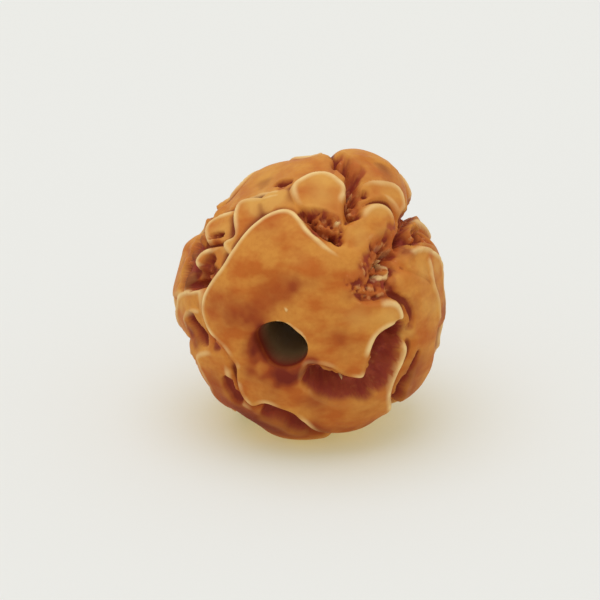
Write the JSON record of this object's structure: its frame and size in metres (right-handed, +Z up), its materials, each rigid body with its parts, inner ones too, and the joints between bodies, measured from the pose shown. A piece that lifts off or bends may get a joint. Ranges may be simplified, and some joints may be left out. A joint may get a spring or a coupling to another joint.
{
  "type": "rudraksha seed",
  "caption": "Rounded woody seed stone with carved lobes and deep meridian clefts, pierced by a straight through hole for stringing, resting on a small flat spot.",
  "frame": {"origin": "centre of the bounding box's bottom face, on the surface the seed rests on", "axes": "+Z up from the rest spot; the through hole runs along Y, with the smooth face and its mouth towards -Y"},
  "size_m": [0.0204, 0.0182, 0.0205],
  "materials": {
    "seed_wood": "hand-polished hard stone, dark red-brown in the clefts and pale tan on the worn lobe edges"
  },
  "bodies": {
    "root": {"seed": "seed_wood"}
  },
  "joints": []
}
